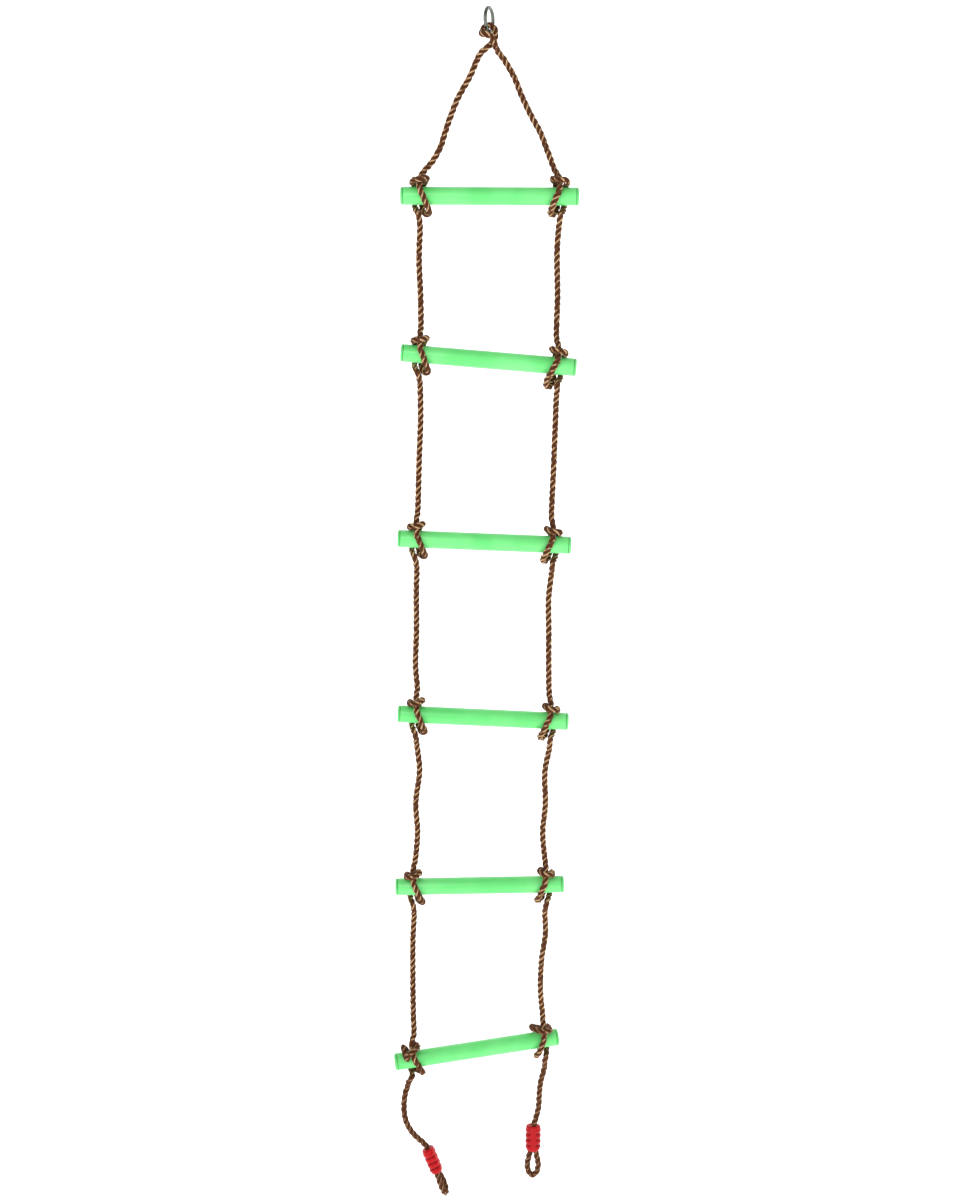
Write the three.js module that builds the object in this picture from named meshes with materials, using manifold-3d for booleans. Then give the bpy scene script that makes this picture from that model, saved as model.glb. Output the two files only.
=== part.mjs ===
// Hanging rope ladder: a steel ring, one continuous three-strand rope doubled through it, six capped
// plastic rungs held in marlinspike hitches, and an eye with a moulded clamp on each free tail.
// Millimetres, +Z up. The origin is the inside top of the ring, where a hook bears. -Y is the front.
import * as THREE from "three";
import { mergeVertices } from "three/addons/utils/BufferGeometryUtils.js";
import Module from "manifold-3d";

const wasm = await Module();
wasm.setup();

// ---- driving dimensions -------------------------------------------------------------------------
const clearance = 0.3; // between faces that touch on the real ladder
const ropeGap = 0.8; // between two pieces of the one rope, which bends where they meet
const ropeD = 10;
const ropeSides = 8;
const knotStep = 13; // length of rope per step where it is knotted
const stretchStep = 40; // and where it runs nearly straight

const ring = { bore: 32, wire: 6, turn: 20 }; // turn: degrees from edge-on to the front
const crownSlack = 1.5; // between the rope and the ring's wire
const overDrift = 4; // how far along the wire the rope drifts from one side of it to the other

const rungLength = 300;
const rungD = 30;
const rungWall = 2.5;
const rungSides = 18;
const capFlange = 4;
const capEdge = 1.5; // rounding of the cap's outer edge
const spigotLength = 14;
const spigotWall = 2;
const hitchInset = 33; // from the rung's end to the middle of its hitch
const hitchSlack = 1.3; // between the rope and the rung

const firstRung = 302; // from the hook seat down to the first rung
const bayHeights = [273, 312, 311, 306, 308];
const pivotGap = 11.7; // from a hitch's end down to where the next bay's rope swings

// wall: beside the two ropes. cheek: in front of them and behind. taper: how far each side draws in
// at the toe. entry: how far off the middle the rope comes in through the mouth.
const clamp = { length: 50, wall: 2.05, cheek: 5.4, mouth: 8, entry: 1, shoulder: 3, toe: 9, taper: 6.5 };
const groove = { count: 3, first: 14, pitch: 11, width: 2.2, depth: 1.6 };
const clampSides = 16;
const clampBand = 9; // width of the smooth band down the front and back of a clamp
const laneGap = 0.7; // between the two ropes inside a clamp
const ropeFit = 0.6; // between the rope and the clamp's channel
const mouthFit = 1.2; // between the rope, which bends there, and the clamp's mouth
const eye = { width: 30, length: { left: 46, right: 52 } };

// What each hand-tied rung does: how far its middle sits to the side, how far its right end hangs
// below its left (degrees), and how far its left end comes forward (degrees).
const rungPoses = [
  { shift: 4, tilt: -0.3, yaw: 0 },
  { shift: 5, tilt: 4.2, yaw: 0 },
  { shift: 1, tilt: 1.7, yaw: 0 },
  { shift: 2, tilt: 2.1, yaw: 0 },
  { shift: -1, tilt: -1.6, yaw: 0 },
  { shift: -3, tilt: -6, yaw: 9 },
];

// How each hitch was pulled up. lean: the rope above comes in from the ladder's middle. droop: the
// lower lobe hangs lower. drape: the outer lobe comes down the front of the rung (0 to 1). flare: the
// upper arc reaches inwards. leave: the last of it heads outwards. out: the swing point below it sits
// outwards. slide: how far out the hitch slid.
const hitchTies = {
  left: [
    { lean: 9, flare: 2 },
    { droop: 1 },
    {},
    { droop: 2 },
    { flare: 1 },
    { droop: -4, drape: 1, leave: 7, out: 10 },
  ],
  right: [
    { lean: 8, flare: 2 },
    { droop: 6, flare: 1 },
    { flare: 1 },
    { droop: 2 },
    {},
    { flare: 10, leave: 2, out: 4, slide: 5 },
  ],
};

// How the rope strays from the straight line down to a hitch: part of the way, outwards, backwards.
const legWander = {
  left: [[0.16, -1, 1], [0.36, 2, 1], [0.53, 0, 1], [0.66, -3, 0], [0.81, -7, 0], [0.95, -4, 0]],
  right: [[0.16, 4, 1], [0.36, 2, 1], [0.54, 3, 1], [0.67, 5, 0], [0.81, 3, 0], [0.93, 1, 0]],
};
const bayWander = {
  left: [
    [[0.3, 2, 1], [0.7, 0, -1]],
    [[0.25, -2, 1], [0.6, -1, -1]],
    [[0.2, 1, 1], [0.5, 1, 2], [0.8, 3, 0]],
    [[0.22, -6, 0], [0.5, 0, 2], [0.75, -4, 0]],
    [[0.2, 2, 1], [0.5, 2, 1], [0.8, 1, 0]],
  ],
  right: [
    [[0.2, -2, 1], [0.6, 0, -1]],
    [[0.25, 0, -1], [0.6, 0, 1]],
    [[0.2, -4, 1], [0.45, -3, 1], [0.75, -2, 0]],
    [[0.2, -6, 0], [0.5, -3, 2], [0.75, -6, 1]],
    [[0.2, 2, 1], [0.45, -4, 0], [0.75, -5, 1]],
  ],
};

// The rope below the last rung, as chosen points: [x, y, z] from the point where the tail swings to
// the top of its clamp. aim is the clamp's lean to the right, face its turn about its own length.
const tails = {
  left: {
    route: [[-4, 0, -14], [-6, -1, -34], [-4, -3, -58], [4, -4, -78], [15, -3, -93], [28, -1, -106]],
    end: [37, 0, -118],
    aim: 22,
    face: 80,
  },
  right: {
    route: [[-3, 0, -14], [-7, 1, -32], [-9, 1, -56], [-10, 1, -80], [-14, 0, -98]],
    end: [-19, 0, -114],
    aim: 0,
    face: 0,
  },
};

// ---- sizes that follow --------------------------------------------------------------------------
const ropeR = ropeD / 2;
const rungR = rungD / 2;
const ringR = (ring.bore + ring.wire) / 2;
const wireFoot = new THREE.Vector3(0, 0, -ring.bore / 2 - ringR); // the ring's lowest wire centre
const wireReach = ring.wire / 2 + ropeR + crownSlack; // from the wire's centre to the rope's
const wrap = rungR + ropeR + hitchSlack; // from the rung's axis to the rope lying on it
const beside = ropeD + 1; // between the middles of two turns side by side
const hitchEnd = wrap + 1.9 * ropeD; // from the rung's axis to where its hitch ends
const pivotDrop = hitchEnd + pivotGap;
const lane = (ropeD + laneGap) / 2; // from a clamp's middle to each of its ropes
const channel = { width: 2 * lane + ropeD + 2 * ropeFit, depth: ropeD + 2 * ropeFit };
const clampWidth = channel.width + 2 * clamp.wall;
const clampDepth = channel.depth + 2 * clamp.cheek;
const sides = { left: -1, right: 1 };

const rungs = rungPoses.map((pose, i) => {
  const drop = bayHeights.slice(0, i).reduce((sum, height) => sum + height, firstRung);
  const [tilt, yaw] = [pose.tilt, pose.yaw].map(THREE.MathUtils.degToRad);
  const turn = new THREE.Euler(0, tilt, yaw, "ZYX");
  return { centre: new THREE.Vector3(pose.shift, 0, -drop), turn };
});

// ---- colours ------------------------------------------------------------------------------------
const steel = { color: 0x8f948c, roughness: 0.3, metalness: 1 };
const rope = { color: 0x6a452b, roughness: 0.85, metalness: 0 };
const greenPlastic = { color: 0x8cf09a, roughness: 0.35, metalness: 0 };
const redPlastic = { color: 0xcc1f2a, roughness: 0.35, metalness: 0 };

// ---- solids -------------------------------------------------------------------------------------
const ladder = new THREE.Group();

function place(name, geometry, finish, position, rotation) {
  const mesh = new THREE.Mesh(geometry, new THREE.MeshStandardMaterial(finish));
  mesh.name = name;
  if (position) mesh.position.copy(position);
  if (rotation) mesh.rotation.copy(rotation);
  ladder.add(mesh);
  return mesh;
}

function solid(geometry) {
  const bare = geometry.clone();
  bare.deleteAttribute("normal");
  bare.deleteAttribute("uv");
  const merged = mergeVertices(bare, 1e-4);
  const triVerts = new Uint32Array(merged.index.array);
  const vertProperties = merged.attributes.position.array;
  return new wasm.Manifold(new wasm.Mesh({ numProp: 3, vertProperties, triVerts }));
}

function geometryOf(manifold) {
  const mesh = manifold.getMesh();
  const geometry = new THREE.BufferGeometry();
  geometry.setAttribute("position", new THREE.BufferAttribute(mesh.vertProperties, 3));
  geometry.setIndex(new THREE.BufferAttribute(mesh.triVerts, 1));
  geometry.computeVertexNormals();
  return geometry;
}

// A solid of revolution about X from [along, radius] pairs that start and end on the axis or close.
function turned(profile, segments) {
  const points = profile.map(([along, radius]) => new THREE.Vector2(radius, along));
  const geometry = new THREE.LatheGeometry(points, segments);
  geometry.rotateZ(-Math.PI / 2);
  return geometry;
}

// ---- the rope's route ---------------------------------------------------------------------------
// The route is one list of points from the left eye's end to the right eye's end. Each piece of rope
// is the stretch between two marked points of it.
const at = (x, y, z) => new THREE.Vector3(x, y, z);

// Points of a marlinspike hitch, from the standing part above to the tail below. Each is how far
// inwards along the rung, then the distance from the rung's axis and the angle up from the front.
function hitchPoints({ lean = 0, droop = 0, drape = 0, flare = 0, leave = 0 }) {
  const over = wrap + ropeD + 2 * hitchSlack; // a turn that crosses over another
  const curl = wrap + 0.4 * ropeD; // a turn that stands off the rung
  const inner = 1.5;
  const outer = inner - beside;
  return [
    [1 + lean, 2.1 * wrap, 90],
    [-0.5 + 0.6 * lean, wrap + 1.6 * ropeD, 83],
    [-1 + 0.2 * lean, wrap + ropeD, 72],
    [-0.5, curl + 0.5, 53],
    [1, wrap + 1, 22],
    [6, wrap, -8],
    [10, wrap + 2, -34],
    [14, curl, -60 + droop],
    [15 + droop / 3, curl + 3 + droop, -84],
    [10, curl + 5 + droop, -99],
    [5, wrap + 6 + droop / 3, -115],
    [inner + 1, wrap + 1.5, -143],
    [inner, wrap + 0.5, -180],
    [inner + 1, wrap + 1.5, -216],
    [5 + flare, wrap + 3, -244],
    [7.5 + flare, wrap + 5, -264],
    [9.5 + 0.8 * flare, wrap + 10, -297],
    [0.5, over + 3, -316],
    [-10, curl + 7, -311 - 14 * drape],
    [outer - 3, wrap + 2 + drape, -294 - 38 * drape],
    [outer - 3 - 2 * drape, wrap + 0.5 + 3 * drape, -270],
    [outer - 2 - 2 * drape, wrap, -245],
    [outer, wrap, -211],
    [outer, wrap + 0.5, -180],
    [outer, wrap + 1, -150],
    [-8 + 0.35 * leave, wrap + 2, -119],
    [-5.5 + 0.25 * leave, wrap + 4, -92],
    [-2.5 - 0.3 * leave, wrap + ropeD, -77],
    [-1 - leave, hitchEnd, -82],
  ];
}

// Near the rung the rope leans with it; away from it the rope hangs plumb.
function hitchRoute(side, index) {
  const { centre, turn } = rungs[index];
  const tie = hitchTies[side][index];
  const hand = sides[side];
  const along = rungLength / 2 - hitchInset + (tie.slide ?? 0);
  const middle = at(hand * along, 0, 0).applyEuler(turn).add(centre);
  const points = hitchPoints(tie).map(([inwards, reach, angle]) => {
    const a = THREE.MathUtils.degToRad(angle);
    const local = at(-hand * inwards, -reach * Math.cos(a), reach * Math.sin(a));
    const held = THREE.MathUtils.clamp((2 * wrap - reach) / (wrap - ropeR), 0, 1);
    return local.clone().lerp(local.clone().applyEuler(turn), held).add(middle);
  });
  const pivot = middle.clone().add(at(hand * (tie.out ?? 0), 0, -pivotDrop));
  return { points, pivot };
}

const hitches = {};
for (const side of Object.keys(sides)) {
  hitches[side] = rungs.map((_, index) => hitchRoute(side, index));
}

// The rope goes once round the ring's wire. It crosses itself below the ring and again in front of
// the wire. Points are [x, y, z] from the foot of the ring, in rope diameters.
const across = at(1, 0, 0).applyAxisAngle(at(0, 0, 1), -THREE.MathUtils.degToRad(ring.turn));
const alongWire = across.clone().applyAxisAngle(at(0, 0, 1), Math.PI / 2);
const overWire = [90, 45, 0, -45, -90].map((angle) => {
  const a = THREE.MathUtils.degToRad(angle);
  const sideways = across.clone().multiplyScalar(wireReach * Math.sin(a));
  const onwards = alongWire.clone().multiplyScalar(overDrift * Math.sin(a));
  return sideways.add(onwards).setZ(wireReach * Math.cos(a)).add(wireFoot);
});
const fromFoot = ([x, y, z]) => at(x, y, z).multiplyScalar(ropeD).add(wireFoot);
const crownLeft = [
  [-1.2, -0.5, -3.4],
  [-0.4, -0.9, -2.8],
  [0.25, -0.6, -2.2],
  [0.9, 0.1, -1.4],
].map(fromFoot);
const crownRight = [
  [-1.15, -1.1, -0.5],
  [-0.6, -1.85, -0.75],
  [0.3, -1.85, -1.05],
  [0.8, -1.6, -1.8],
  [1.15, -1.2, -2.7],
  [1.65, -0.5, -3.5],
].map(fromFoot);
const crown = [...crownLeft, ...overWire, ...crownRight];
const legTop = { left: fromFoot([-1.8, -0.1, -4.3]), right: fromFoot([2.4, -0.1, -4.3]) };

// One side from the crown down, as named stretches of points. A stretch begins at its swing point.
function sideRoute(side) {
  const hand = sides[side];
  const stretches = [];
  const last = rungs.length - 1;
  rungs.forEach((_, i) => {
    const { points } = hitches[side][i];
    const name = i === 0 ? `leg_${side}` : `bay_rope_${i + 1}_${side}`;
    const top = i === 0 ? legTop[side] : hitches[side][i - 1].pivot;
    const wander = i === 0 ? legWander[side] : bayWander[side][i - 1];
    const strayed = wander.map(([part, outwards, back]) =>
      top.clone().lerp(points[0], part).add(at(hand * outwards, back, 0)));
    stretches.push({ name, points: [top, ...strayed] });
    stretches.push({ name: `hitch_${i + 1}_${side}`, points });
  });
  stretches.push({ name: `tail_${side}`, points: tailRoute(side, hitches[side][last].pivot) });
  return stretches;
}

// A clamp's own frame: Z along the clamp, X across its two ropes, origin at its lower end.
function clampFrame(side) {
  const { end, aim, face } = tails[side];
  const top = at(...end).add(hitches[side][rungs.length - 1].pivot);
  const turn = new THREE.Matrix4().makeRotationY(-THREE.MathUtils.degToRad(aim));
  turn.multiply(new THREE.Matrix4().makeRotationZ(THREE.MathUtils.degToRad(face)));
  const foot = at(0, 0, -clamp.length).applyMatrix4(turn).add(top);
  return turn.setPosition(foot);
}

// The tail runs through its clamp, round the eye and back up into the clamp, where it ends.
function tailRoute(side, pivot) {
  const { route } = tails[side];
  const frame = clampFrame(side);
  const bulge = eye.width / 2 - ropeR;
  const inClamp = [
    [clamp.entry, 1],
    [clamp.entry, 0.86],
    [lane, 0.52],
    [lane, 0.2],
    [lane, -0.02],
  ].map(([x, part]) => at(x, 0, part * clamp.length));
  const halfEye = [[0.72, 0.2], [1, 0.48], [0.86, 0.72], [0.45, 0.86]];
  const length = eye.length[side];
  const down = halfEye.map(([x, part]) => at(x * bulge, 0, -part * length));
  const up = down.map((p) => at(-p.x, 0, p.z)).reverse();
  const bottom = at(0, 0, -length + ropeR);
  const inside = [0, 0.2, 0.46].map((part) => at(-lane, 0, part * clamp.length));
  const loop = [...inClamp, ...down, bottom, ...up, ...inside].map((p) => p.applyMatrix4(frame));
  return [pivot, ...route.map(([x, y, z]) => at(x, y, z).add(pivot)), ...loop];
}

// The whole rope, with the place along it where each piece of it starts.
function ropeCourse() {
  const left = sideRoute("left").reverse();
  const course = [];
  const pieces = [];
  const append = (name, points, flipped) => {
    const swings = /^(leg|bay_rope|tail)_/.test(name);
    const last = course.length + points.length - 1;
    pieces.push({ name, first: course.length, last, swings, flipped });
    course.push(...points);
  };
  left.forEach(({ name, points }) => append(name, [...points].reverse(), true));
  append("crown_knot", crown, false);
  sideRoute("right").forEach(({ name, points }) => append(name, points, false));
  const curve = new THREE.CatmullRomCurve3(course, false, "centripetal");
  return { curve, pieces, count: course.length };
}

// The part of the rope between two places on its course.
class RopePiece extends THREE.Curve {
  constructor(curve, start, finish) {
    super();
    Object.assign(this, { curve, start, finish });
    this.arcLengthDivisions = 400;
  }

  getPoint(t, target) {
    return this.curve.getPoint(THREE.MathUtils.lerp(this.start, this.finish, t), target);
  }
}

const section = new THREE.Shape(
  Array.from({ length: ropeSides }, (_, i) => {
    const a = (2 * Math.PI * (i + 0.5)) / ropeSides;
    return new THREE.Vector2(ropeR * Math.cos(a), ropeR * Math.sin(a));
  }),
);

// Moves along the course by a length in small equal steps of distance.
function shifted(curve, place, length) {
  const probe = Math.sign(length) * 1e-6;
  const parts = 8;
  let spot = place;
  for (let i = 0; i < parts; i += 1) {
    const speed = curve.getPoint(spot + probe).distanceTo(curve.getPoint(spot)) / probe;
    spot += length / parts / Math.abs(speed);
  }
  return spot;
}

// Sets where each piece starts and finishes. A swinging piece reaches its swing point, where it ends
// in a ball, and its neighbour stops short of that ball. Other ends meet face to face.
function cutRope({ curve, pieces, count }) {
  pieces[0].start = 0;
  pieces.at(-1).finish = 1;
  pieces.slice(1).forEach((after, i) => {
    const before = pieces[i];
    const owner = before.flipped ? before : after;
    const mark = (before.flipped ? before.last : after.first) / (count - 1);
    const reach = owner.swings ? ropeR + clearance : ropeGap / 2;
    before.finish = owner.swings && owner === before ? mark : shifted(curve, mark, -reach);
    after.start = owner.swings && owner === after ? mark : shifted(curve, mark, reach);
  });
}

function ropePieces() {
  const course = ropeCourse();
  cutRope(course);
  for (const { name, start, finish, swings, flipped } of course.pieces) {
    const path = new RopePiece(course.curve, start, finish);
    const knotted = /^(hitch|crown|tail)_/.test(name);
    const steps = Math.ceil(path.getLength() / (knotted ? knotStep : stretchStep));
    const shape = { steps, extrudePath: path, bevelEnabled: false };
    let body = solid(new THREE.ExtrudeGeometry(section, shape));
    if (swings) {
      const ball = new THREE.SphereGeometry(ropeR, ropeSides, ropeSides / 2);
      ball.translate(...path.getPoint(flipped ? 1 : 0).toArray());
      body = body.add(solid(ball));
    }
    place(name, geometryOf(body), rope);
  }
}

// ---- the ring -----------------------------------------------------------------------------------
function hangRing() {
  const geometry = new THREE.TorusGeometry(ringR, ring.wire / 2, 8, 28);
  geometry.rotateY(Math.PI / 2);
  const turn = new THREE.Euler(0, 0, -THREE.MathUtils.degToRad(ring.turn));
  place("hang_ring", geometry, steel, at(0, 0, -ring.bore / 2), turn);
}

// ---- the rungs ----------------------------------------------------------------------------------
function rungTube() {
  const half = rungLength / 2 - capFlange - clearance;
  const bore = rungR - rungWall;
  const wall = [[-half, bore], [-half, rungR], [half, rungR], [half, bore], [-half, bore]];
  return turned(wall, rungSides);
}

// A cap for the right end, with its flange outside the tube and its hollow spigot inside.
function rungCap() {
  const face = rungLength / 2;
  const seat = face - capFlange;
  const spigotR = rungR - rungWall - clearance;
  const hollowR = spigotR - spigotWall;
  const edge = [0, 45, 90].map((angle) => {
    const a = THREE.MathUtils.degToRad(angle);
    return [face - capEdge + capEdge * Math.sin(a), rungR - capEdge + capEdge * Math.cos(a)];
  });
  return turned([
    [seat, 0],
    [seat, hollowR],
    [seat - spigotLength, hollowR],
    [seat - spigotLength, spigotR],
    [seat, spigotR],
    [seat, rungR],
    ...edge,
    [face, 0],
  ], rungSides);
}

function rungSet() {
  rungs.forEach(({ centre, turn }, i) => {
    place(`rung_${i + 1}_tube`, rungTube(), greenPlastic, centre, turn);
    place(`rung_${i + 1}_cap_right`, rungCap(), greenPlastic, centre, turn);
    const mirrored = rungCap().rotateZ(Math.PI);
    place(`rung_${i + 1}_cap_left`, mirrored, greenPlastic, centre, turn);
  });
}

// ---- the tail clamps ----------------------------------------------------------------------------
// A solid of revolution about Z from [radius, height] pairs, flattened to the clamp's depth.
function flattened(profile) {
  const points = profile.map(([radius, height]) => new THREE.Vector2(radius, height));
  const geometry = new THREE.LatheGeometry(points, clampSides);
  geometry.rotateX(Math.PI / 2);
  geometry.scale(1, clampDepth / clampWidth, 1);
  return geometry;
}

// Points of a quarter of an ellipse, as [radius, height] pairs, from one angle to another.
function quarter(middle, reach, from, to, count) {
  return Array.from({ length: count + 1 }, (_, i) => {
    const a = THREE.MathUtils.degToRad(from + ((to - from) * i) / count);
    return [middle[0] + reach[0] * Math.cos(a), middle[1] + reach[1] * Math.sin(a)];
  });
}

function barrel() {
  const r = clampWidth / 2;
  const { length, toe, taper, shoulder } = clamp;
  const lower = quarter([r - taper, toe], [taper, toe], -90, 0, 3);
  const upper = quarter([r - shoulder, length - shoulder], [shoulder, shoulder], 0, 90, 2);
  return flattened([[0, 0], ...lower, ...upper, [0, length]]);
}

function grooveCutter(height) {
  const deep = clampWidth / 2 - groove.depth;
  const far = clampWidth;
  const low = height - groove.width / 2;
  const high = height + groove.width / 2;
  const cut = flattened([[deep, low], [far, low], [far, high], [deep, high], [deep, low]]);
  const band = new THREE.BoxGeometry(clampBand, 3 * clampDepth, 2 * groove.width);
  band.translate(0, 0, height);
  return solid(cut).subtract(solid(band));
}

function clampBody() {
  let body = solid(barrel());
  for (let i = 0; i < groove.count; i += 1) {
    body = body.subtract(grooveCutter(clamp.length - groove.first - i * groove.pitch));
  }
  const channelTop = clamp.length - clamp.mouth;
  const box = new THREE.BoxGeometry(channel.width, channel.depth, 2 * channelTop);
  const mouthR = ropeR + mouthFit;
  const mouth = new THREE.CylinderGeometry(mouthR, mouthR, 3 * clamp.mouth, 12);
  mouth.rotateX(Math.PI / 2);
  mouth.translate(clamp.entry, 0, clamp.length);
  return body.subtract(solid(box)).subtract(solid(mouth));
}

function clampHalves() {
  const body = clampBody();
  for (const side of Object.keys(sides)) {
    for (const [half, hand] of [["front", -1], ["back", 1]]) {
      const keep = new THREE.BoxGeometry(2 * clampWidth, clampDepth, 2 * clamp.length);
      keep.translate(0, (hand * (clampDepth + clearance)) / 2, clamp.length / 2);
      const shell = geometryOf(body.intersect(solid(keep)));
      place(`clamp_${side}_${half}`, shell, redPlastic).applyMatrix4(clampFrame(side));
    }
  }
}

hangRing();
ropePieces();
rungSet();
clampHalves();

export default ladder;
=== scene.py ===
"""Rope ladder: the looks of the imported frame. Sizes are in millimetres until MM makes them metres."""
import math

import bmesh
import bpy
import numpy as np
from mathutils import Matrix, Vector


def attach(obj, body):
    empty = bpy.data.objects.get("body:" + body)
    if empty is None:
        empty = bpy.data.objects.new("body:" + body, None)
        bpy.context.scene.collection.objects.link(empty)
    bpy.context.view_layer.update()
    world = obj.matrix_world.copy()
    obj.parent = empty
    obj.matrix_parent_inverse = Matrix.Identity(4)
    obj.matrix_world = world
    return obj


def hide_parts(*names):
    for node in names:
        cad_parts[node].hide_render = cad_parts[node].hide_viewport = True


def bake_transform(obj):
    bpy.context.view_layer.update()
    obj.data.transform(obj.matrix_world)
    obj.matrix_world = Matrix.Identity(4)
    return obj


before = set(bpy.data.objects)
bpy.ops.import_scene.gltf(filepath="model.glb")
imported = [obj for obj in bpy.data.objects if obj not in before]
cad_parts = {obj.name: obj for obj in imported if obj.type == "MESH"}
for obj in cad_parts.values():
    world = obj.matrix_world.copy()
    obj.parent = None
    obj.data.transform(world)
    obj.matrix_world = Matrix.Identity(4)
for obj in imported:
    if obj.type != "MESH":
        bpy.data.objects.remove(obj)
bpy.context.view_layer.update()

MM = 0.001

# ---- sizes, as the frame's own design has them --------------------------------------------------
ROPE_D = 10.0
ROPE_R = ROPE_D / 2
LAY = 34.0  # length of rope in which a strand goes once round
RUNG_LENGTH = 300.0
RUNG_R = 15.0
RUNG_WALL = 2.5
CAP_FLANGE = 4.0
SPIGOT = 14.0
SEAM_GAP = 0.5  # between a tube's end and its cap
CAP_ROUND = 2.6  # of the flange's outer edge
SEAM_EASE = 0.7  # of the edges either side of the seam
DISH = 0.9
HITCH_INSET = 33.0
HITCH_SLACK = 1.3
PIVOT_DROP = 52.0
RING_BORE = 32.0
RING_WIRE = 6.0
RING_TURN = 20.0
CROWN_SLACK = 1.5
OVER_DRIFT = 4.0  # how far along the wire the rope drifts from one side of it to the other
FIRST_RUNG = 302.0
BAY_HEIGHTS = [273, 312, 311, 306, 308]
RUNG_POSES = [(4, -0.3, 0), (5, 4.2, 0), (1, 1.7, 0), (2, 2.1, 0), (-1, -1.6, 0), (-3, -6, 9)]
CLAMP = {"length": 50.0, "width": 26.0, "depth": 22.0,
         "mouth": 8.0, "shoulder": 3.0, "toe": 9.0, "taper": 6.5}
LANE_GAP = 0.7  # between the two ropes in a clamp
ROPE_ROOM = 1.2  # from the rope to the sides of a clamp's bore and mouth
GROOVE = {"count": 3, "first": 14.0, "pitch": 11.0, "width": 2.2, "depth": 1.6}
GROOVE_EASE = 1.2  # how far a groove's slopes reach beyond it
GROOVE_SHOWN = 0.85  # share of the depth that leaves a wall outside the bore
RIB_SWELL = 0.55  # half of what a rib stands out
CLAMP_BAND = 9.0
EYE = {"width": 30.0, "length": {"left": 46.0, "right": 52.0}}
HANDS = {"left": -1, "right": 1}
HITCH_TIES = {
    "left": [
        {"lean": 9, "flare": 2},
        {"droop": 1},
        {},
        {"droop": 2},
        {"flare": 1},
        {"droop": -4, "drape": 1, "leave": 7, "out": 10},
    ],
    "right": [
        {"lean": 8, "flare": 2},
        {"droop": 6, "flare": 1},
        {"flare": 1},
        {"droop": 2},
        {},
        {"flare": 10, "leave": 2, "out": 4, "slide": 5},
    ],
}
BAY_WANDER = {
    "left": [
        [(0.3, 2, 1), (0.7, 0, -1)],
        [(0.25, -2, 1), (0.6, -1, -1)],
        [(0.2, 1, 1), (0.5, 1, 2), (0.8, 3, 0)],
        [(0.22, -6, 0), (0.5, 0, 2), (0.75, -4, 0)],
        [(0.2, 2, 1), (0.5, 2, 1), (0.8, 1, 0)],
    ],
    "right": [
        [(0.2, -2, 1), (0.6, 0, -1)],
        [(0.25, 0, -1), (0.6, 0, 1)],
        [(0.2, -4, 1), (0.45, -3, 1), (0.75, -2, 0)],
        [(0.2, -6, 0), (0.5, -3, 2), (0.75, -6, 1)],
        [(0.2, 2, 1), (0.45, -4, 0), (0.75, -5, 1)],
    ],
}
CROWN_LEFT = [(-12, -5, -34), (-4, -9, -28), (2.5, -6, -22), (9, 1, -14)]
CROWN_RIGHT = [
    (-11.5, -11, -5),
    (-6, -18.5, -7.5),
    (3, -18.5, -10.5),
    (8, -16, -18),
    (11.5, -12, -27),
    (16.5, -5, -35),
]
LEG_TOP = {"left": (-18, -1, -43), "right": (24, -1, -43)}
LEG_WANDER = {
    "left": [(0.16, -1, 1), (0.36, 2, 1), (0.53, 0, 1), (0.66, -3, 0), (0.81, -7, 0), (0.95, -4, 0)],
    "right": [(0.16, 4, 1), (0.36, 2, 1), (0.54, 3, 1), (0.67, 5, 0), (0.81, 3, 0), (0.93, 1, 0)],
}
TAILS = {
    "left": {
        "route": [(-4, 0, -14), (-6, -1, -34), (-4, -3, -58), (4, -4, -78), (15, -3, -93), (28, -1, -106)],
        "end": (37, 0, -118),
        "aim": 22,
        "face": 80,
    },
    "right": {
        "route": [(-3, 0, -14), (-7, 1, -32), (-9, 1, -56), (-10, 1, -80), (-14, 0, -98)],
        "end": (-19, 0, -114),
        "aim": 0,
        "face": 0,
    },
}

RING_R = (RING_BORE + RING_WIRE) / 2
WIRE_FOOT = Vector((0, 0, -RING_BORE / 2 - RING_R))
WIRE_REACH = RING_WIRE / 2 + ROPE_R + CROWN_SLACK
WRAP = RUNG_R + ROPE_R + HITCH_SLACK


def rung_frames():
    """Each rung's middle and turn: how far its right end hangs lower, and its left end comes forward."""
    found = []
    for i, (shift, tilt, yaw) in enumerate(RUNG_POSES):
        drop = FIRST_RUNG + sum(BAY_HEIGHTS[:i])
        turn = Matrix.Rotation(math.radians(yaw), 3, "Z") @ Matrix.Rotation(math.radians(tilt), 3, "Y")
        found.append((Vector((shift, 0, -drop)), turn))
    return found


RUNGS = rung_frames()


# ---- camera, light and floor --------------------------------------------------------------------
def make_camera():
    """A 52 mm lens 3 m in front of the ladder, pitched down and rolled as the view has it."""
    data = bpy.data.cameras.new("camera")
    data.sensor_width = 36
    data.lens = 52.3
    data.clip_end = 50
    camera = bpy.data.objects.new("camera", data)
    pitch, roll = 8.61, 0.57
    turn = Matrix.Rotation(math.radians(90 - pitch), 4, "X") @ Matrix.Rotation(math.radians(roll), 4, "Z")
    camera.matrix_world = Matrix.Translation((-0.0055, -3.0, -0.5347)) @ turn
    bpy.context.collection.objects.link(camera)
    bpy.context.scene.camera = camera


def area_light(name, place, aim, size, watts):
    data = bpy.data.lights.new(name, "AREA")
    data.shape = "SQUARE"
    data.size = size
    data.energy = watts
    lamp = bpy.data.objects.new(name, data)
    lamp.location = place
    lamp.rotation_euler = (Vector(aim) - Vector(place)).to_track_quat("-Z", "Y").to_euler()
    bpy.context.collection.objects.link(lamp)


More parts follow.
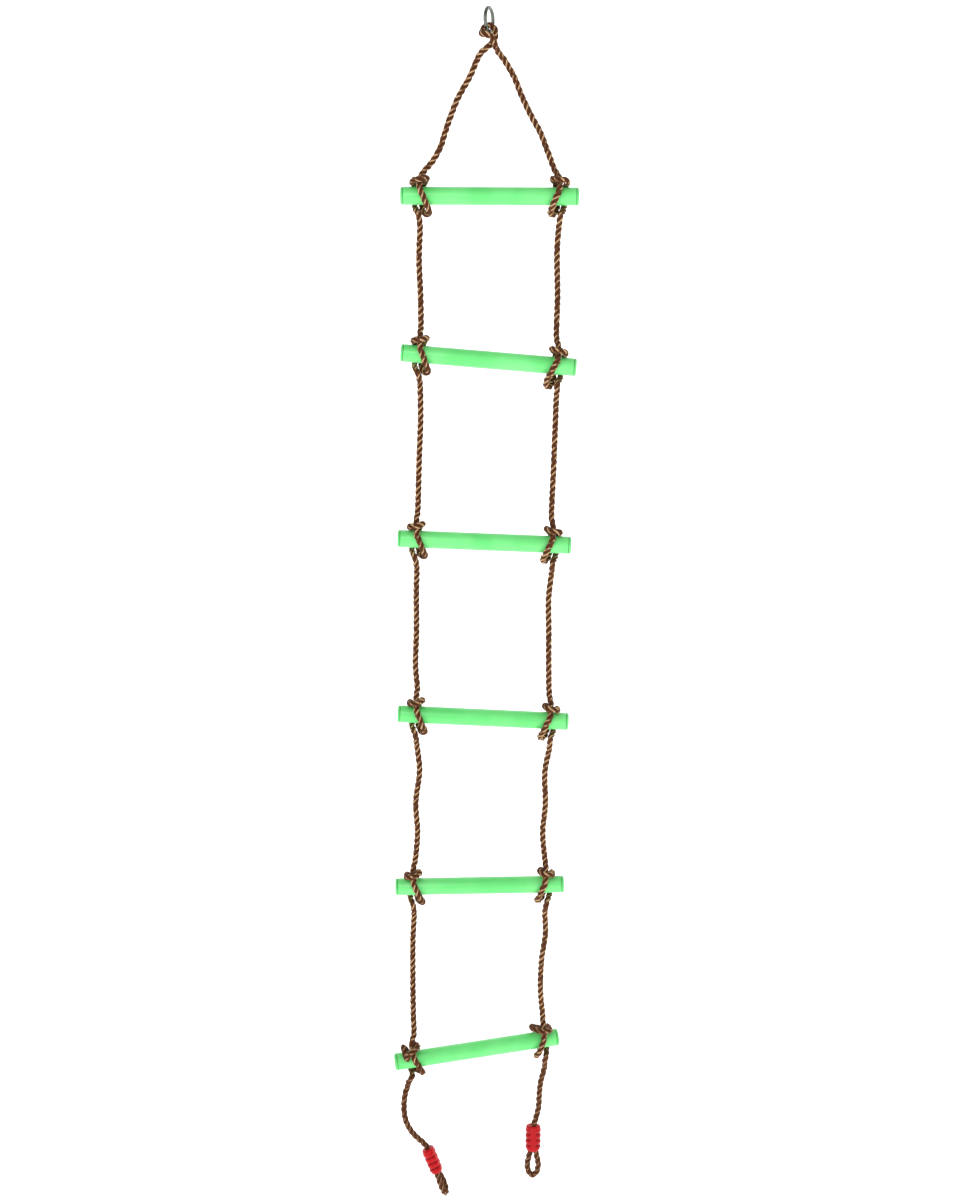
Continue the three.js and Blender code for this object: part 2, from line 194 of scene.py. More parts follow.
def make_studio():
    """A pale sweep under and far behind the ladder, a white surround and large soft lights."""
    scene = bpy.context.scene
    scene.view_settings.view_transform = "Standard"
    world = bpy.data.worlds.new("surround")
    world.use_nodes = True
    world.node_tree.nodes["Background"].inputs["Color"].default_value = (1, 1, 1, 1)
    world.node_tree.nodes["Background"].inputs["Strength"].default_value = 0.5
    scene.world = world
    area_light("key_light", (-0.9, -3.4, 0.6), (0, 0, -1.05), 1.2, 38)
    area_light("fill_light", (1.6, -3.0, -1.2), (0, 0, -1.2), 1.4, 10)

    half, floor_z, back_y, bend = 12.0, -2.75, 6.0, 1.6
    outline = [(-9.0, floor_z), (back_y - bend, floor_z)]
    steps = 16
    for i in range(1, steps + 1):
        a = math.radians(90 * i / steps)
        outline.append((back_y - bend + bend * math.sin(a), floor_z + bend - bend * math.cos(a)))
    outline.append((back_y, 9.0))
    vertices = [(x, y, z) for y, z in outline for x in (-half, half)]
    faces = [(2 * i, 2 * i + 1, 2 * i + 3, 2 * i + 2) for i in range(len(outline) - 1)]
    mesh = bpy.data.meshes.new("sweep")
    mesh.from_pydata(vertices, [], faces)
    mesh.shade_smooth()
    sweep = bpy.data.objects.new("sweep", mesh)
    bpy.context.collection.objects.link(sweep)
    paper = bpy.data.materials.new("paper")
    paper.use_nodes = True
    shader = paper.node_tree.nodes["Principled BSDF"]
    shader.inputs["Base Color"].default_value = (0.9, 0.9, 0.9, 1)
    shader.inputs["Roughness"].default_value = 1
    shader.inputs["Emission Color"].default_value = (1, 1, 1, 1)
    shader.inputs["Emission Strength"].default_value = 0.75
    mesh.materials.append(paper)


make_camera()
make_studio()


# ---- the rope's route ---------------------------------------------------------------------------
def hitch_points(lean=0, droop=0, drape=0, flare=0, leave=0, **_):
    """A marlinspike hitch from the standing part to the tail: inwards, reach, angle up from the front."""
    over = WRAP + ROPE_D + 2 * HITCH_SLACK
    curl = WRAP + 0.4 * ROPE_D
    inner = 1.5
    outer = inner - ROPE_D - 1
    return [
        (1 + lean, 2.1 * WRAP, 90),
        (-0.5 + 0.6 * lean, WRAP + 1.6 * ROPE_D, 83),
        (-1 + 0.2 * lean, WRAP + ROPE_D, 72),
        (-0.5, curl + 0.5, 53),
        (1, WRAP + 1, 22),
        (6, WRAP, -8),
        (10, WRAP + 2, -34),
        (14, curl, -60 + droop),
        (15 + droop / 3, curl + 3 + droop, -84),
        (10, curl + 5 + droop, -99),
        (5, WRAP + 6 + droop / 3, -115),
        (inner + 1, WRAP + 1.5, -143),
        (inner, WRAP + 0.5, -180),
        (inner + 1, WRAP + 1.5, -216),
        (5 + flare, WRAP + 3, -244),
        (7.5 + flare, WRAP + 5, -264),
        (9.5 + 0.8 * flare, WRAP + 10, -297),
        (0.5, over + 3, -316),
        (-10, curl + 7, -311 - 14 * drape),
        (outer - 3, WRAP + 2 + drape, -294 - 38 * drape),
        (outer - 3 - 2 * drape, WRAP + 0.5 + 3 * drape, -270),
        (outer - 2 - 2 * drape, WRAP, -245),
        (outer, WRAP, -211),
        (outer, WRAP + 0.5, -180),
        (outer, WRAP + 1, -150),
        (-8 + 0.35 * leave, WRAP + 2, -119),
        (-5.5 + 0.25 * leave, WRAP + 4, -92),
        (-2.5 - 0.3 * leave, WRAP + ROPE_D, -77),
        (-1 - leave, WRAP + 1.9 * ROPE_D, -82),
    ]


def hitch_route(side, index):
    """The hitch's points, and the point below it where the next stretch swings."""
    centre, turn = RUNGS[index]
    tie = HITCH_TIES[side][index]
    hand = HANDS[side]
    along = RUNG_LENGTH / 2 - HITCH_INSET + tie.get("slide", 0)
    middle = turn @ Vector((hand * along, 0, 0)) + centre
    points = []
    for inwards, reach, angle in hitch_points(**tie):
        a = math.radians(angle)
        local = Vector((-hand * inwards, -reach * math.cos(a), reach * math.sin(a)))
        held = min(1, max(0, (2 * WRAP - reach) / (WRAP - ROPE_R)))
        points.append(local.lerp(turn @ local, held) + middle)
    pivot = middle + Vector((hand * tie.get("out", 0), 0, -PIVOT_DROP))
    return points, pivot


HITCHES = {side: [hitch_route(side, i) for i in range(len(RUNGS))] for side in HANDS}


def from_foot(points):
    return [Vector(p) + WIRE_FOOT for p in points]


def crown_route():
    """Up to the ring, over its wire and down, with the two ropes crossed below it."""
    turn = math.radians(RING_TURN)
    across = Vector((math.cos(turn), -math.sin(turn), 0))
    along_wire = Vector((math.sin(turn), math.cos(turn), 0))
    over = []
    for angle in (90, 45, 0, -45, -90):
        a = math.radians(angle)
        sideways = across * (WIRE_REACH * math.sin(a)) + along_wire * (OVER_DRIFT * math.sin(a))
        over.append(sideways + Vector((0, 0, WIRE_REACH * math.cos(a))) + WIRE_FOOT)
    return from_foot(CROWN_LEFT) + over + from_foot(CROWN_RIGHT)


def clamp_frame(side):
    """A clamp's own frame: Z along it, X across its two ropes, origin at its lower end."""
    tail = TAILS[side]
    top = Vector(tail["end"]) + HITCHES[side][-1][1]
    aim = Matrix.Rotation(-math.radians(tail["aim"]), 4, "Y")
    turn = aim @ Matrix.Rotation(math.radians(tail["face"]), 4, "Z")
    foot = top + turn.to_3x3() @ Vector((0, 0, -CLAMP["length"]))
    return Matrix.Translation(foot) @ turn


def tail_route(side):
    """From the swing point down through the clamp, round the eye and back up into the clamp."""
    pivot = HITCHES[side][-1][1]
    lane = (ROPE_D + LANE_GAP) / 2
    bulge = EYE["width"] / 2 - ROPE_R
    local = [(x, 0, part * CLAMP["length"]) for x, part in
             ((1, 1), (1, 0.86), (lane, 0.52), (lane, 0.2), (lane, -0.02))]
    length = EYE["length"][side]
    down = [(x * bulge, 0, -part * length) for x, part in
            ((0.72, 0.2), (1, 0.48), (0.86, 0.72), (0.45, 0.86))]
    local += down + [(0, 0, -length + ROPE_R)] + [(-x, y, z) for x, y, z in reversed(down)]
    local += [(-lane, 0, part * CLAMP["length"]) for part in (0, 0.2, 0.46)]
    frame_of = clamp_frame(side)
    return [pivot] + [Vector(p) + pivot for p in TAILS[side]["route"]] + [frame_of @ Vector(p) for p in local]


def side_route(side):
    """One side of the ladder from the crown down, and the index of each hitch's last point in it."""
    hand = HANDS[side]
    points = []
    seams = []
    tops = from_foot([LEG_TOP[side]]) + [pivot for _, pivot in HITCHES[side]]
    strays = [LEG_WANDER[side]] + BAY_WANDER[side]
    for top, stray, (hitch, _) in zip(tops, strays, HITCHES[side]):
        points.append(top)
        for part, outwards, back in stray:
            points.append(top.lerp(hitch[0], part) + Vector((hand * outwards, back, 0)))
        points += hitch
        seams.append(len(points) - 1)
    return points + tail_route(side), seams


def catmull_rom(points, per_span=24):
    """Centripetal Catmull-Rom through the points, and each point's index among the samples."""
    p = np.array([tuple(v) for v in points], float)
    p = np.vstack([2 * p[0] - p[1], p, 2 * p[-1] - p[-2]])
    t = np.linspace(0, 1, per_span, endpoint=False)[:, None]
    out = []
    for i in range(1, len(p) - 2):
        p0, p1, p2, p3 = p[i - 1 : i + 3]
        d0, d1, d2 = (max(1e-4, np.linalg.norm(b - a)) ** 0.5 for a, b in ((p0, p1), (p1, p2), (p2, p3)))
        m1 = ((p1 - p0) / d0 - (p2 - p0) / (d0 + d1) + (p2 - p1) / d1) * d1
        m2 = ((p2 - p1) / d1 - (p3 - p1) / (d1 + d2) + (p3 - p2) / d2) * d1
        out.append((2 * t**3 - 3 * t**2 + 1) * p1 + (t**3 - 2 * t**2 + t) * m1
                   + (3 * t**2 - 2 * t**3) * p2 + (t**3 - t**2) * m2)
    out.append(p[-2][None])
    return np.vstack(out), [i * per_span for i in range(len(points))]


RING_STEP = 1.6  # length of rope between two rings of the rope's mesh


class Rope:
    """The whole rope as evenly spaced rings: middles, tangents, two crosswise axes and lengths along it."""

    def __init__(self):
        left, left_seams = side_route("left")
        right, right_seams = side_route("right")
        crown = crown_route()
        points = left[::-1] + crown + right
        fine, marks = catmull_rom(points)
        steps = np.linalg.norm(np.diff(fine, axis=0), axis=1)
        length = np.concatenate([[0], np.cumsum(steps)])
        count = int(round(length[-1] / RING_STEP)) + 1
        self.along = np.linspace(0, length[-1], count)
        self.middle = np.stack([np.interp(self.along, length, fine[:, k]) for k in range(3)], 1)
        tangent = np.gradient(self.middle, axis=0)
        self.tangent = tangent / np.linalg.norm(tangent, axis=1)[:, None]
        self.across = self._carry()
        self.beside = np.cross(self.tangent, self.across)

        def ring_of(index):
            return int(round(length[marks[index]] / length[-1] * (count - 1)))

        top = len(left)
        self.seams = {
            "left": [ring_of(top - 1 - i) for i in left_seams],
            "right": [ring_of(top + len(crown) + i) for i in right_seams],
        }
        self.crown = ring_of(top + len(CROWN_LEFT) + 2)

    def _carry(self):
        """A crosswise axis carried along the rope without turning about it."""
        axis = np.cross(self.tangent[0], (0, 1, 0))
        out = np.empty_like(self.tangent)
        for i, t in enumerate(self.tangent):
            axis = axis - t * (axis @ t)
            axis = axis / np.linalg.norm(axis)
            out[i] = axis
        return out


LOBE_POINTS = 10
STRANDS = 3
STRAND_R = 3.0  # of one strand's round side
STRAND_REACH = 2.55  # from the rope's middle to a strand's


def strand_section():
    """(angle, radius) round the rope's outline: three round strands that meet in grooves."""
    outline = []
    for strand in range(STRANDS):
        for i in range(LOBE_POINTS):
            share = i / LOBE_POINTS
            angle = (share - 0.5) * 2 * math.pi / STRANDS
            bulge = STRAND_REACH * math.cos(angle)
            radius = bulge + math.sqrt(STRAND_R**2 - (STRAND_REACH * math.sin(angle)) ** 2)
            outline.append((2 * math.pi * strand / STRANDS + angle, radius))
    return np.array(outline)


def new_object(name, vertices, faces, smooth=True):
    mesh = bpy.data.meshes.new(name)
    mesh.from_pydata(vertices, [], faces)
    mesh.validate()
    if smooth:
        mesh.shade_smooth()
    obj = bpy.data.objects.new(name, mesh)
    bpy.context.collection.objects.link(obj)
    return obj


def rope_mesh(name, rope, first, last):
    """The rings from first to last as one closed three-strand mesh, with UVs round and along the lay."""
    section = strand_section()
    n = len(section)
    rings = np.arange(first, last + 1)
    turn = 2 * math.pi * (rope.along[rings] - rope.along[rope.crown]) / LAY
    angle = section[None, :, 0] + turn[:, None]
    reach = section[None, :, 1]
    points = rope.middle[rings][:, None, :] + (
        rope.across[rings][:, None, :] * (reach * np.cos(angle))[..., None]
        + rope.beside[rings][:, None, :] * (reach * np.sin(angle))[..., None]
    )
    vertices = points.reshape(-1, 3) * MM
    faces = []
    for r in range(len(rings) - 1):
        a = r * n
        faces += [(a + j, a + (j + 1) % n, a + n + (j + 1) % n, a + n + j) for j in range(n)]
    end = (len(rings) - 1) * n
    faces += [tuple(range(n - 1, -1, -1)), tuple(range(end, end + n))]
    obj = new_object(name, vertices.tolist(), faces)
    mesh = obj.data
    uv = mesh.uv_layers.new(name="lay")
    side_faces = (len(rings) - 1) * n
    ring_at = np.repeat(np.arange(len(rings) - 1), n)
    slot = np.tile(np.arange(n), len(rings) - 1)
    height = (rope.along[rings] - rope.along[rope.crown]) / LAY
    corner_u = np.stack([slot, slot + 1, slot + 1, slot], 1) / n
    corner_v = np.stack([height[ring_at], height[ring_at], height[ring_at + 1], height[ring_at + 1]], 1)
    flat = np.zeros((len(mesh.loops), 2), np.float32)
    flat[: 4 * side_faces] = np.stack([corner_u, corner_v], 2).reshape(-1, 2)
    flat[4 * side_faces :, 1] = height[0]
    uv.data.foreach_set("uv", flat.ravel())
    return obj


# ---- materials ----------------------------------------------------------------------------------
class Nodes:
    """A material's node tree with short ways to add and join nodes."""

    def __init__(self, name):
        self.material = bpy.data.materials.new(name)
        self.material.use_nodes = True
        self.tree = self.material.node_tree
        self.shader = self.tree.nodes["Principled BSDF"]

    def add(self, kind, **settings):
        node = self.tree.nodes.new(kind)
        for key, value in settings.items():
            setattr(node, key, value)
        return node

    def join(self, source, target):
        self.tree.links.new(source, target)

    def math(self, operation, *values):
        node = self.add("ShaderNodeMath", operation=operation)
        for socket, value in zip(node.inputs, values):
            if isinstance(value, (int, float)):
                socket.default_value = value
            else:
                self.join(value, socket)
        return node.outputs[0]

    def noise(self, vector, scale, detail=3.0, roughness=0.5):
        node = self.add("ShaderNodeTexNoise")
        node.inputs["Scale"].default_value = scale
        node.inputs["Detail"].default_value = detail
        node.inputs["Roughness"].default_value = roughness
        self.join(vector, node.inputs["Vector"])
        return node.outputs["Fac"]

    def between(self, value, low, high, to_low=0.0, to_high=1.0):
        node = self.add("ShaderNodeMapRange", interpolation_type="SMOOTHSTEP")
        self.join(value, node.inputs["Value"])
        for key, number in (("From Min", low), ("From Max", high), ("To Min", to_low), ("To Max", to_high)):
            node.inputs[key].default_value = number
        return node.outputs["Result"]

    def mix(self, share, a, b, blend="MIX"):
        node = self.add("ShaderNodeMix", data_type="RGBA", blend_type=blend)
        for socket, value in ((node.inputs["Factor"], share), (node.inputs["A"], a), (node.inputs["B"], b)):
            if isinstance(value, (int, float)):
                socket.default_value = value
            elif isinstance(value, tuple):
                socket.default_value = (*value, 1)
            else:
                self.join(value, socket)
        return node.outputs["Result"]

    def bump(self, height, distance, strength=1.0):
        node = self.add("ShaderNodeBump")
        node.inputs["Strength"].default_value = strength
        node.inputs["Distance"].default_value = distance
        self.join(height, node.inputs["Height"])
        self.join(node.outputs["Normal"], self.shader.inputs["Normal"])

    def object_place(self):
        return self.add("ShaderNodeTexCoord").outputs["Object"]

    def set(self, **values):
        for key, value in values.items():
            self.shader.inputs[key.replace("_", " ")].default_value = value


def srgb(r, g, b):
    """A linear colour from 0-255 sRGB values."""
    return tuple(((c / 255 + 0.055) / 1.055) ** 2.4 if c > 10 else c / 255 / 12.92 for c in (r, g, b))


def rope_material():
    """Brown three-strand rope: a tan band of yarns in each strand, axial yarn lines and loose fibres, with
    painted shade between the yarns and in the grooves between the strands.
    """
    m = Nodes("laid_rope")
    lay = m.add("ShaderNodeUVMap", uv_map="lay")
    split = m.add("ShaderNodeSeparateXYZ")
    m.join(lay.outputs["UV"], split.inputs["Vector"])
    around, along = split.outputs["X"], split.outputs["Y"]
    fibre_noise = m.noise(m.object_place(), 900, 2)
    patch_noise = m.noise(m.object_place(), 60, 3)
    strand = m.math("FRACT", m.math("MULTIPLY", around, STRANDS))
    wobble = m.math("MULTIPLY", m.math("SUBTRACT", patch_noise, 0.5), 0.3)
    band = m.math("ABSOLUTE", m.math("SUBTRACT", m.math("ADD", strand, wobble), 0.62))
    tan_band = m.between(band, 0.09, 0.2, 1.0, 0.0)
    fleck_place = m.add("ShaderNodeCombineXYZ")
    strand_number = m.math("FLOOR", m.math("MULTIPLY", around, STRANDS))
    m.join(m.math("MULTIPLY", strand_number, 7.3), fleck_place.inputs["X"])
    m.join(m.math("MULTIPLY", along, 5.5), fleck_place.inputs["Y"])
    flecks = m.noise(fleck_place.outputs["Vector"], 1.0, 1)
    shown = m.between(flecks, 0.4, 0.54, 0.05, 1.0)
    down = m.math("ABSOLUTE", along)
    fade = m.between(down, 88, 100, 1.0, 0.4)
    tan_share = m.math("MULTIPLY", m.math("MULTIPLY", tan_band, shown), fade)
    yarns = m.math("ADD", around, m.math("MULTIPLY", along, 1.25))
    yarn_wave = m.math("SINE", m.math("MULTIPLY", yarns, 2 * math.pi * 27))
    yarn_height = m.math("ADD", m.math("MULTIPLY", yarn_wave, 0.5), 0.5)
    dark = m.mix(fibre_noise, srgb(62, 29, 10), srgb(132, 74, 36))
    tan = m.mix(fibre_noise, srgb(214, 158, 104), srgb(252, 216, 168))
    colour = m.mix(tan_share, dark, tan)
    # painted shade: the colour is darkened between the yarns and towards the grooves between the strands
    shade = m.between(yarn_height, 0.0, 1.0, 0.72, 1.0)
    painted_strand_groove_shade = m.between(m.math("ABSOLUTE", m.math("SUBTRACT", strand, 0.5)), 0.36, 0.5, 1.0, 0.45)
    painted_shade_grey = m.add("ShaderNodeCombineColor")
    for key in ("Red", "Green", "Blue"):
        m.join(m.math("MULTIPLY", shade, painted_strand_groove_shade), painted_shade_grey.inputs[key])
    m.join(m.mix(1.0, colour, painted_shade_grey.outputs["Color"], "MULTIPLY"), m.shader.inputs["Base Color"])
    height = m.math("ADD", yarn_height, m.math("MULTIPLY", fibre_noise, 0.7))
    m.bump(height, 0.0004, 0.8)
    m.join(m.between(fibre_noise, 0.3, 0.7, 0.78, 0.95), m.shader.inputs["Roughness"])
    m.set(Sheen_Weight=0.08, Sheen_Roughness=0.5, Specular_IOR_Level=0.18)
    return m.material


def plastic_material(name, light, deep, hollow, roughness=0.34, soft=0.15, shine=0.4):
    """Satin moulded plastic: faint cloudiness, fine grain, handling marks, and painted shade that darkens the
    marked grooves and seams.
    """
    m = Nodes(name)
    place = m.object_place()
    cloud = m.noise(place, 14, 2)
    grain = m.noise(place, 1400, 2)
    marks = m.noise(place, 90, 5, 0.7)
    colour = m.mix(m.between(cloud, 0.3, 0.7), light, deep)
    # painted shade: the colour goes towards the shade colour where the mesh's weight marks grooves and seams
    depth = m.add("ShaderNodeAttribute", attribute_name="hollow").outputs["Fac"]
    colour = m.mix(m.between(depth, 0.1, 0.95, 0.0, 0.8), colour, hollow)
    m.join(colour, m.shader.inputs["Base Color"])
    rough = m.between(marks, 0.35, 0.75, roughness - 0.05, roughness + 0.12)
    m.join(rough, m.shader.inputs["Roughness"])
    height = m.math("ADD", m.math("MULTIPLY", grain, 0.5), m.math("MULTIPLY", marks, 0.6))
    m.bump(height, 0.00006, 0.5)
    m.set(Subsurface_Weight=soft, Subsurface_Scale=0.004, Specular_IOR_Level=shine)
    return m.material


def steel_material():
    """Polished wire with patchy tarnish and fine scratches."""
    m = Nodes("ring_steel")
    place = m.object_place()
    tarnish = m.noise(place, 120, 4, 0.6)
    scratch = m.noise(place, 1500, 3, 0.7)
    colour = m.mix(m.between(tarnish, 0.35, 0.7), srgb(128, 134, 124), srgb(74, 80, 70))
    m.join(colour, m.shader.inputs["Base Color"])
    m.join(m.between(scratch, 0.3, 0.75, 0.2, 0.42), m.shader.inputs["Roughness"])
    m.bump(scratch, 0.00005, 0.4)
    m.set(Metallic=1.0)
    return m.material


# ---- placing the rope ---------------------------------------------------------------------------
def lay_rope():
    rope = Rope()
    fibre = rope_material()

    def piece(name, first, last, replaced):
        first, last = min(first, last), max(first, last)
        obj = rope_mesh(name, rope, first, last)
        obj.data.materials.append(fibre)
        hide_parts(*replaced)
        return obj

    seams = rope.seams
    head = piece("rope_head", seams["left"][0], seams["right"][0],
                 ["crown_knot", "leg_left", "leg_right", "hitch_1_left", "hitch_1_right"])
    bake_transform(head)
    for side in HANDS:
        for i in range(1, len(RUNGS)):
            n = i + 1
            obj = piece(f"rope_bay_{n}_{side}", seams[side][i - 1], seams[side][i],
                        [f"bay_rope_{n}_{side}", f"hitch_{n}_{side}"])
            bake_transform(obj)
        last = 0 if side == "left" else len(rope.along) - 1
        obj = piece(f"rope_tail_{side}", seams[side][-1], last, [f"tail_{side}"])
        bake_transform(obj)


# ---- lathed pieces ------------------------------------------------------------------------------
def lathe(name, profile, segments):
    """A solid of revolution about X from (along, radius) pairs that close on themselves or on the axis."""
    bm = bmesh.new()
    rings = []
    for along, radius in profile:
        if radius < 1e-6:
            rings.append([bm.verts.new((along * MM, 0, 0))])
            continue
        ring = []
        for i in range(segments):
            a = 2 * math.pi * i / segments
            ring.append(bm.verts.new((along * MM, radius * math.cos(a) * MM, radius * math.sin(a) * MM)))
        rings.append(ring)
    pairs = list(zip(rings, rings[1:]))
    if len(rings[0]) > 1:
        pairs.append((rings[-1], rings[0]))
    for a, b in pairs:
        for i in range(segments):
            j = (i + 1) % segments
            corners = [a[i % len(a)], a[j % len(a)], b[j % len(b)], b[i % len(b)]]
            bm.faces.new(list(dict.fromkeys(corners)))
    bmesh.ops.recalc_face_normals(bm, faces=bm.faces)
    mesh = bpy.data.meshes.new(name)
    bm.to_mesh(mesh)
    bm.free()
    mesh.shade_smooth()
    mesh.set_sharp_from_angle(angle=math.radians(40))
    obj = bpy.data.objects.new(name, mesh)
    bpy.context.collection.objects.link(obj)
    return obj


def arc(along, radius, size, start, end, steps=6):
    """Points of a rounded edge about (along, radius), angles from the along direction."""
    out = []
    for i in range(steps + 1):
        a = math.radians(start + (end - start) * i / steps)
        out.append((along + size * math.cos(a), radius + size * math.sin(a)))
    return out


def tube_profile():
    """The tube's wall, with its cut edges eased."""
    half = RUNG_LENGTH / 2 - CAP_FLANGE - SEAM_GAP
    bore = RUNG_R - RUNG_WALL
    ease = SEAM_EASE
    return (arc(half - ease, RUNG_R - ease, ease, 90, 0, 4)
            + arc(half - ease, bore + ease, ease, 0, -90, 4)
            + arc(-half + ease, bore + ease, ease, -90, -180, 4)
            + arc(-half + ease, RUNG_R - ease, ease, 180, 90, 4))


def cap_profile():
    """A cap: rounded flange with a shallow dish in its face, and a hollow spigot with one groove round it."""
    face = RUNG_LENGTH / 2
    seat = face - CAP_FLANGE
    spigot_r = RUNG_R - RUNG_WALL - 0.3
    hollow_r = spigot_r - 2
    return ([(face - DISH, 0), (face - DISH, 8.5)]
            + arc(face - 0.5, 9.0, 0.5, 200, 90, 4)
            + arc(face - CAP_ROUND, RUNG_R - CAP_ROUND, CAP_ROUND, 0, 90, 10)
            + arc(seat + SEAM_EASE, RUNG_R - SEAM_EASE, SEAM_EASE, 90, 180, 4)
            + [(seat, spigot_r), (seat - 3, spigot_r), (seat - 3.4, spigot_r - 0.4)]
            + [(seat - 4.6, spigot_r - 0.4), (seat - 5, spigot_r)]
            + [(seat - SPIGOT + 1.2, spigot_r), (seat - SPIGOT, spigot_r - 0.8),
               (seat - SPIGOT, hollow_r), (seat, hollow_r), (seat, 0)])


def mark_painted_shade(mesh, share_at):
    """Stores how far each point is down in one of the grooves or seams, as the weight of the material's
    painted shade.
    """
    hollow = mesh.attributes.new("hollow", "FLOAT", "POINT")
    hollow.data.foreach_set("value", [share_at(v.co / MM) for v in mesh.vertices])


def seam_painted_shade(place):
    """Painted shade weight: 1 where a tube meets its cap, fading out a millimetre away."""
    if math.hypot(place.y, place.z) < RUNG_R - 1.5:
        return 0
    return max(0, 1 - abs(abs(place.x) - RUNG_LENGTH / 2 + CAP_FLANGE + SEAM_GAP / 2))


def make_rungs():
    # painted shade for the gap where each tube meets its caps
    painted_seam_shade = srgb(38, 112, 58)
    tube_plastic = plastic_material("rung_plastic", srgb(128, 244, 142), srgb(108, 234, 126), painted_seam_shade)
    cap_plastic = plastic_material("cap_plastic", srgb(118, 236, 134), srgb(98, 222, 116), painted_seam_shade,
                                   roughness=0.3)
    for i, (centre, turn) in enumerate(RUNGS):
        place = Matrix.Translation(centre * MM) @ turn.to_4x4()
        body = f"rung_{i + 1}"
        for part, profile, mirror, finish, slot in (
            ("tube", tube_profile(), 1, tube_plastic, "rung_plastic"),
            ("cap_left", cap_profile(), -1, cap_plastic, "cap_plastic"),
            ("cap_right", cap_profile(), 1, cap_plastic, "cap_plastic"),
        ):
            obj = lathe(f"{body}_{part}_shell", profile, 96)
            if mirror < 0:
                obj.data.transform(Matrix.Rotation(math.pi, 4, "Z"))
            obj.data.materials.append(finish)
            # the weight of the painted shade where the tube meets a cap
            mark_painted_shade(obj.data, seam_painted_shade)
            obj.data.transform(place)
            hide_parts(f"{body}_{part}")
            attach(obj, body)


def make_ring():
    """The round-wire ring, with the raised bead of its butt weld hidden low in the rope."""
    around, wire = 160, 28
    vertices = []
    for i in range(around):
        a = 2 * math.pi * i / around
        from_weld = abs((math.degrees(a) - 215 + 180) % 360 - 180)
        bead = 0.35 * math.exp(-((from_weld / 4.0) ** 2))
        for j in range(wire):
            b = 2 * math.pi * j / wire
            thick = RING_WIRE / 2 + bead
            r = RING_R + thick * math.cos(b)
            vertices.append((thick * math.sin(b) * MM, r * math.cos(a) * MM, r * math.sin(a) * MM))
    faces = []
    for i in range(around):
        for j in range(wire):
            a, b = i * wire, ((i + 1) % around) * wire
            k = (j + 1) % wire
            faces.append((a + j, a + k, b + k, b + j))
    obj = new_object("ring_wire", vertices, faces)
    bm = bmesh.new()
    bm.from_mesh(obj.data)
    bmesh.ops.recalc_face_normals(bm, faces=bm.faces)
    bm.to_mesh(obj.data)
    bm.free()
    turn = Matrix.Rotation(-math.radians(RING_TURN), 4, "Z")
    obj.data.transform(Matrix.Translation((0, 0, -RING_BORE / 2 * MM)) @ turn)
    obj.data.materials.append(steel_material())
    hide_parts("hang_ring")
    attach(obj, "ring")


# ---- the clamps ---------------------------------------------------------------------------------
def beside_band(angle):
    """0 on the smooth band down the clamp's front and back, 1 on its ribbed sides."""
    share = min(1, max(0, (abs(CLAMP["width"] / 2 * math.cos(angle)) - CLAMP_BAND / 2) / 1.2))
    return share * share * (3 - 2 * share)


def groove_share(z, angle):
    """0 outside the clamp's grooves, 1 at the bottom of one."""
    share = 0
    for i in range(GROOVE["count"]):
        middle = CLAMP["length"] - GROOVE["first"] - i * GROOVE["pitch"]
        share = max(share, 1 - (abs(z - middle) / (GROOVE["width"] / 2 + GROOVE_EASE)) ** 2)
    return share * beside_band(angle)


def barrel_radius(z, angle):
    """The clamp's outer radius at a height and an angle, before it is flattened front to back."""
    r = CLAMP["width"] / 2
    toe, shoulder = CLAMP["toe"], CLAMP["shoulder"]
    if z < toe:
        r -= CLAMP["taper"] * (1 - math.sqrt(max(0, 1 - (1 - z / toe) ** 2)))
    top = CLAMP["length"] - z
    if top < shoulder:
        r -= shoulder * (1 - math.sqrt(max(0, 1 - (1 - top / shoulder) ** 2)))
    # the ribs between the grooves belly out a little
    swell = math.cos(2 * math.pi * (z - CLAMP["length"] + GROOVE["first"]) / GROOVE["pitch"])
    in_ribs = 1 if toe < z < CLAMP["length"] - 6 else 0
    r += RIB_SWELL * (1 - swell) * beside_band(angle) * in_ribs
    return r - GROOVE_SHOWN * GROOVE["depth"] * groove_share(z, angle)


def barrel_object(name):
    """The clamp's outside as one closed mesh in its own frame, in metres."""
    segments, rows = 96, 100
    flat = CLAMP["depth"] / CLAMP["width"]
    vertices = [(0, 0, 0)]
    for k in range(rows + 1):
        share = k / rows
        z = CLAMP["length"] * (0.5 - 0.5 * math.cos(math.pi * share)) * 0.35 + CLAMP["length"] * share * 0.65
        for i in range(segments):
            a = 2 * math.pi * (i + 0.5) / segments
            r = barrel_radius(z, a)
            vertices.append((r * math.cos(a), r * math.sin(a) * flat, z))
    vertices.append((0, 0, CLAMP["length"]))
    faces = []
    for k in range(rows):
        for i in range(segments):
            j = (i + 1) % segments
            a = 1 + k * segments
            faces.append((a + i, a + j, a + segments + j, a + segments + i))
    last = 1 + rows * segments
    for i in range(segments):
        j = (i + 1) % segments
        faces.append((0, 1 + j, 1 + i))
        faces.append((last + segments, last + i, last + j))
    return new_object(name, [(x * MM, y * MM, z * MM) for x, y, z in vertices], faces)


def tool_box(name, low, high):
    corners = [(x, y, z) for x in (low[0], high[0]) for y in (low[1], high[1]) for z in (low[2], high[2])]
    faces = [(0, 1, 3, 2), (4, 6, 7, 5), (0, 4, 5, 1), (2, 3, 7, 6), (0, 2, 6, 4), (1, 5, 7, 3)]
    return new_object(name, [(x * MM, y * MM, z * MM) for x, y, z in corners], faces, smooth=False)


